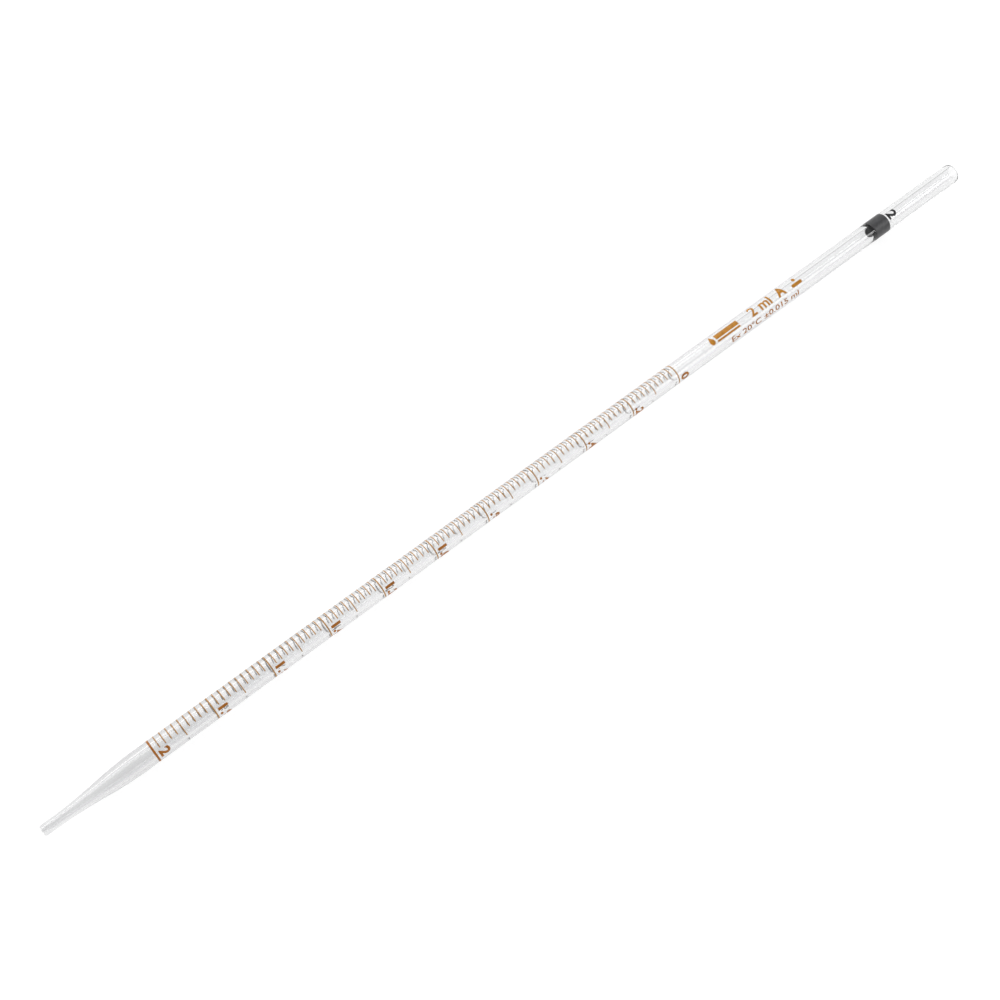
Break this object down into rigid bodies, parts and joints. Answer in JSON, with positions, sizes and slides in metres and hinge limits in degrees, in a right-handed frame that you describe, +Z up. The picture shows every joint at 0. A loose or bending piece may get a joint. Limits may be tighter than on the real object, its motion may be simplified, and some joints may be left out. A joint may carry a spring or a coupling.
{
  "type": "graduated pipette",
  "caption": "Straight glass measuring pipette with a drawn tip, a fired amber scale from zero to two millilitres, a dark colour band and a fire-polished mouth.",
  "frame": {"origin": "under the middle of the tube, on the bench that the pipette lies on", "axes": "+X along the tube towards the mouth, +Z up; the scale faces 22.5 degrees from +Z towards -Y"},
  "size_m": [0.36, 0.0068, 0.0069],
  "materials": {
    "clear_glass": "clear polished laboratory glass",
    "fine_amber_enamel": "fired amber screen print, thin line",
    "bold_amber_enamel": "fired amber screen print, heavy stroke",
    "orange_enamel": "fired orange screen print",
    "grey_enamel": "fired dark grey colour-code band",
    "black_enamel": "fired black screen print"
  },
  "bodies": {
    "root": {"band_numeral": "black_enamel", "capacity_inscription": "bold_amber_enamel", "class_letter": "bold_amber_enamel", "colour_band": "grey_enamel", "fine_marks_0_0_to_0_2": "fine_amber_enamel", "fine_marks_0_2_to_0_4": "fine_amber_enamel", "fine_marks_0_4_to_0_6": "fine_amber_enamel", "fine_marks_0_6_to_0_8": "fine_amber_enamel", "fine_marks_0_8_to_1_0": "fine_amber_enamel", "fine_marks_1_0_to_1_2": "fine_amber_enamel", "fine_marks_1_2_to_1_4": "fine_amber_enamel", "fine_marks_1_4_to_1_6": "fine_amber_enamel", "fine_marks_1_6_to_1_8": "fine_amber_enamel", "fine_marks_1_8_to_2_0": "fine_amber_enamel", "glass_tube": "clear_glass", "half_mark_0_1": "fine_amber_enamel", "half_mark_0_3": "fine_amber_enamel", "half_mark_0_5": "fine_amber_enamel", "half_mark_0_7": "fine_amber_enamel", "half_mark_0_9": "fine_amber_enamel", "half_mark_1_1": "fine_amber_enamel", "half_mark_1_3": "fine_amber_enamel", "half_mark_1_5": "fine_amber_enamel", "half_mark_1_7": "fine_amber_enamel", "half_mark_1_9": "fine_amber_enamel", "maker_mark": "orange_enamel", "numeral_0_0": "bold_amber_enamel", "numeral_0_2": "bold_amber_enamel", "numeral_0_4": "bold_amber_enamel", "numeral_0_6": "bold_amber_enamel", "numeral_0_8": "bold_amber_enamel", "numeral_1_0": "bold_amber_enamel", "numeral_1_2": "bold_amber_enamel", "numeral_1_4": "bold_amber_enamel", "numeral_1_6": "bold_amber_enamel", "numeral_1_8": "bold_amber_enamel", "numeral_2_0": "bold_amber_enamel", "reference_inscription": "fine_amber_enamel", "ring_mark_0_0": "fine_amber_enamel", "ring_mark_0_2": "fine_amber_enamel", "ring_mark_0_4": "fine_amber_enamel", "ring_mark_0_6": "fine_amber_enamel", "ring_mark_0_8": "fine_amber_enamel", "ring_mark_1_0": "fine_amber_enamel", "ring_mark_1_2": "fine_amber_enamel", "ring_mark_1_4": "fine_amber_enamel", "ring_mark_1_6": "fine_amber_enamel", "ring_mark_1_8": "fine_amber_enamel", "ring_mark_2_0": "fine_amber_enamel", "second_mark": "orange_enamel"}
  },
  "joints": []
}
